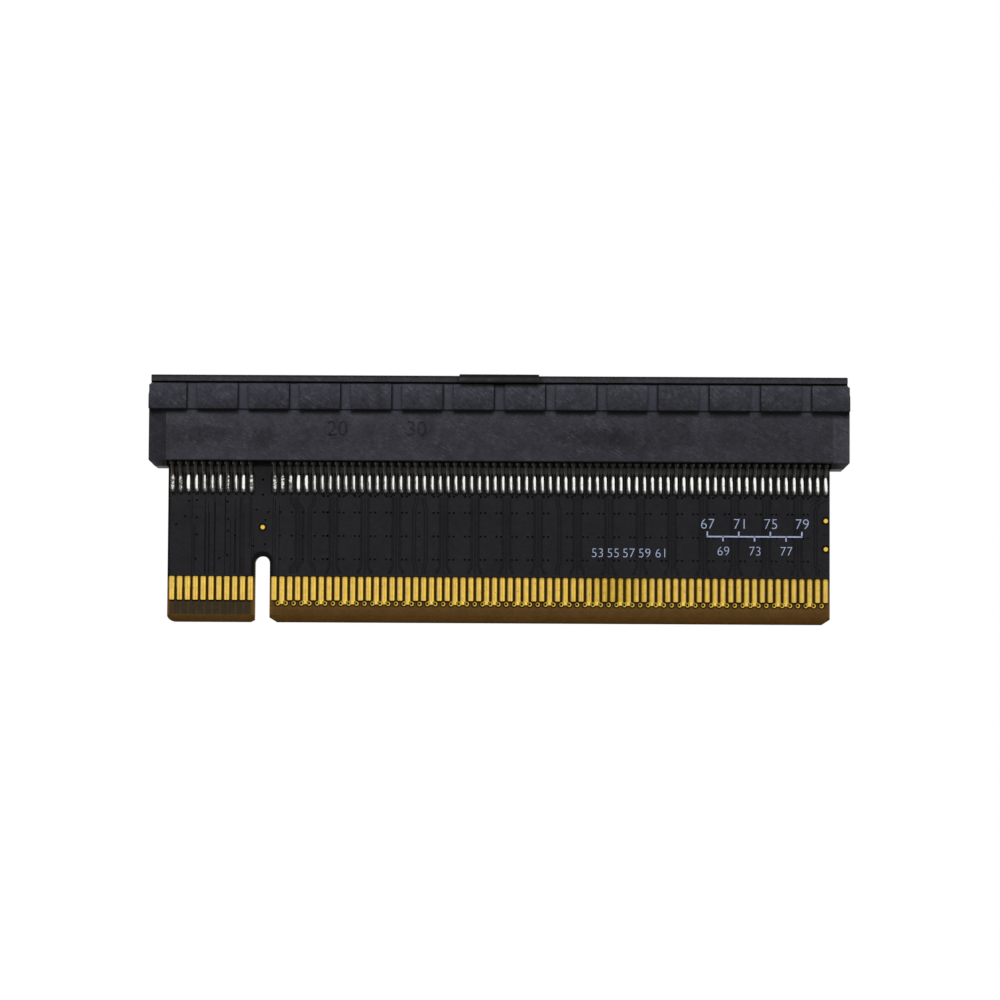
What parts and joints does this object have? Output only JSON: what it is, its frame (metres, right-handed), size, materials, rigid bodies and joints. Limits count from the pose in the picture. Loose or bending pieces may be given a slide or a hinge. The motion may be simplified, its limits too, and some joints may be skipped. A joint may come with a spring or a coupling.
{
  "type": "pcie riser card",
  "caption": "Short pass-through riser card: keyed gold edge fingers below, a straddle-mounted card slot with spring contacts above, in line on one board.",
  "frame": {"origin": "middle of the card's lower edge, on the mid-plane of the board, where the card goes into the host's slot", "axes": "+X along the contact row from the short keyed tab to the long tab, -Y out of the component face (side B), +Z from the lower edge to the slot mouth"},
  "size_m": [0.0888, 0.0084, 0.0314],
  "materials": {
    "housing_plastic": "moulded satin black",
    "laminate": "brown glass-epoxy laminate, sawn and bevelled edges",
    "solder_mask": "black satin solder mask",
    "gold_plate": "gold plate over nickel and copper",
    "contact_alloy": "dull plated copper alloy strip",
    "tinned_copper": "tinned copper",
    "solder": "bright reflowed solder",
    "legend_ink": "printed ink"
  },
  "bodies": {
    "root": {"connector_housing": "housing_plastic", "board_laminate": "laminate", "solder_mask_front": "solder_mask", "solder_mask_back": "solder_mask", "edge_vias": "gold_plate", "test_pads_front": "gold_plate", "legend_front": "legend_ink", "fingers_front_power": "gold_plate", "contacts_front_power": "contact_alloy", "fingers_front_ground": "gold_plate", "contacts_front_ground": "contact_alloy", "fingers_front_lane": "gold_plate", "contacts_front_lane": "contact_alloy", "fingers_front_sideband": "gold_plate", "contacts_front_sideband": "contact_alloy", "solder_lands_front": "tinned_copper", "solder_joints_front": "solder", "fingers_back_power": "gold_plate", "contacts_back_power": "contact_alloy", "fingers_back_ground": "gold_plate", "contacts_back_ground": "contact_alloy", "fingers_back_lane": "gold_plate", "contacts_back_lane": "contact_alloy", "fingers_back_sideband": "gold_plate", "contacts_back_sideband": "contact_alloy", "solder_lands_back": "tinned_copper", "solder_joints_back": "solder"}
  },
  "joints": []
}
